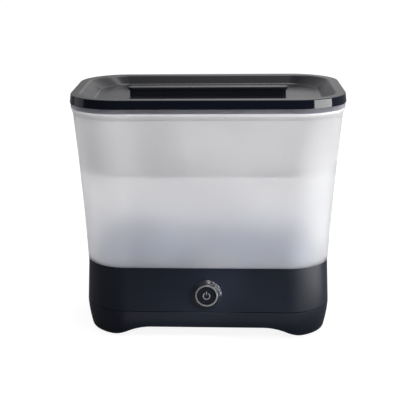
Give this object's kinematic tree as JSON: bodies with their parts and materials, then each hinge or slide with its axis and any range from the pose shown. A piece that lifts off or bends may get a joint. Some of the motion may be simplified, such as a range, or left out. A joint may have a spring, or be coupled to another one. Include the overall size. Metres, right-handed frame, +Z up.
{
  "type": "electric steam sterilizer",
  "caption": "Tabletop electric steam sterilizer for feeding bottles: frosted tub on a dark base with a push button, and a dished lid with a grip bar.",
  "frame": {"origin": "on the floor under the middle of the object, at the centre of its plan", "axes": "+X along the front to the viewer's right, +Y to the back, away from the button, +Z up"},
  "size_m": [0.3298, 0.2058, 0.2984],
  "materials": {
    "base_plastic": "fine matte moulded shell",
    "lid_plastic": "gloss band, satin top",
    "grip_plastic": "satin moulded handle",
    "frosted_plastic": "frosted translucent polypropylene",
    "frosted_tray": "frosted translucent polypropylene",
    "rack_plastic": "matte moulded grid",
    "button_plastic": "satin cap",
    "bright_trim": "satin bright trim",
    "soft_rubber": "matte rubber",
    "silicone": "translucent silicone",
    "dish_coating": "non-stick coating",
    "cast_alloy": "cast aluminium",
    "element_sheath": "heat-tinted steel",
    "steel": "zinc-plated steel",
    "board_green": "laminate",
    "black_plastic": "moulded",
    "relay_blue": "moulded",
    "lamp_white": "moulded",
    "wire_brown": "insulation",
    "wire_blue": "insulation"
  },
  "bodies": {
    "base": {"base_housing": "base_plastic", "bottom_cover": "base_plastic", "foot_pads": "soft_rubber", "case_screws": "steel", "heater_dish": "dish_coating", "dish_seal": "silicone", "heat_spreader": "cast_alloy", "heating_element": "element_sheath", "heater_bracket": "steel", "bracket_screws": "steel", "thermostat": "black_plastic", "thermal_fuse": "steel", "button_collar": "base_plastic", "button_ring": "bright_trim", "control_board": "board_green", "board_screws": "steel", "tact_switch": "black_plastic", "indicator_led": "lamp_white", "relay": "relay_blue", "capacitor": "black_plastic", "board_connector": "lamp_white", "terminal_block": "lamp_white", "cord_gland": "soft_rubber", "mains_wires": "wire_brown", "element_wires": "wire_blue"},
    "button": {"button_cap": "button_plastic", "button_spring": "steel"},
    "tub": {"tub": "frosted_plastic"},
    "lower_rack": {"rack_tray": "rack_plastic", "bottle_pegs": "rack_plastic"},
    "upper_tray": {"upper_tray": "frosted_tray"},
    "lid": {"lid_shell": "lid_plastic", "lid_grip": "grip_plastic", "grip_screws": "steel"}
  },
  "joints": [
    {"name": "button_press", "type": "slide", "parent": "base", "child": "button", "axis": [0, 1, 0], "range_m": [0, 0.0015], "stiffness_N_per_m": 500, "springref_m": -0.003, "deforming": ["button_spring"]},
    {"name": "tub_lift", "type": "slide", "parent": "base", "child": "tub", "axis": [0, 0, 1], "range_m": [0, 0.03]},
    {"name": "rack_lift", "type": "slide", "parent": "tub", "child": "lower_rack", "axis": [0, 0, 1], "range_m": [0, 0.225]},
    {"name": "tray_lift", "type": "slide", "parent": "lower_rack", "child": "upper_tray", "axis": [0, 0, 1], "range_m": [0, 0.1]},
    {"name": "lid_lift", "type": "slide", "parent": "upper_tray", "child": "lid", "axis": [0, 0, 1], "range_m": [0, 0.05]}
  ]
}
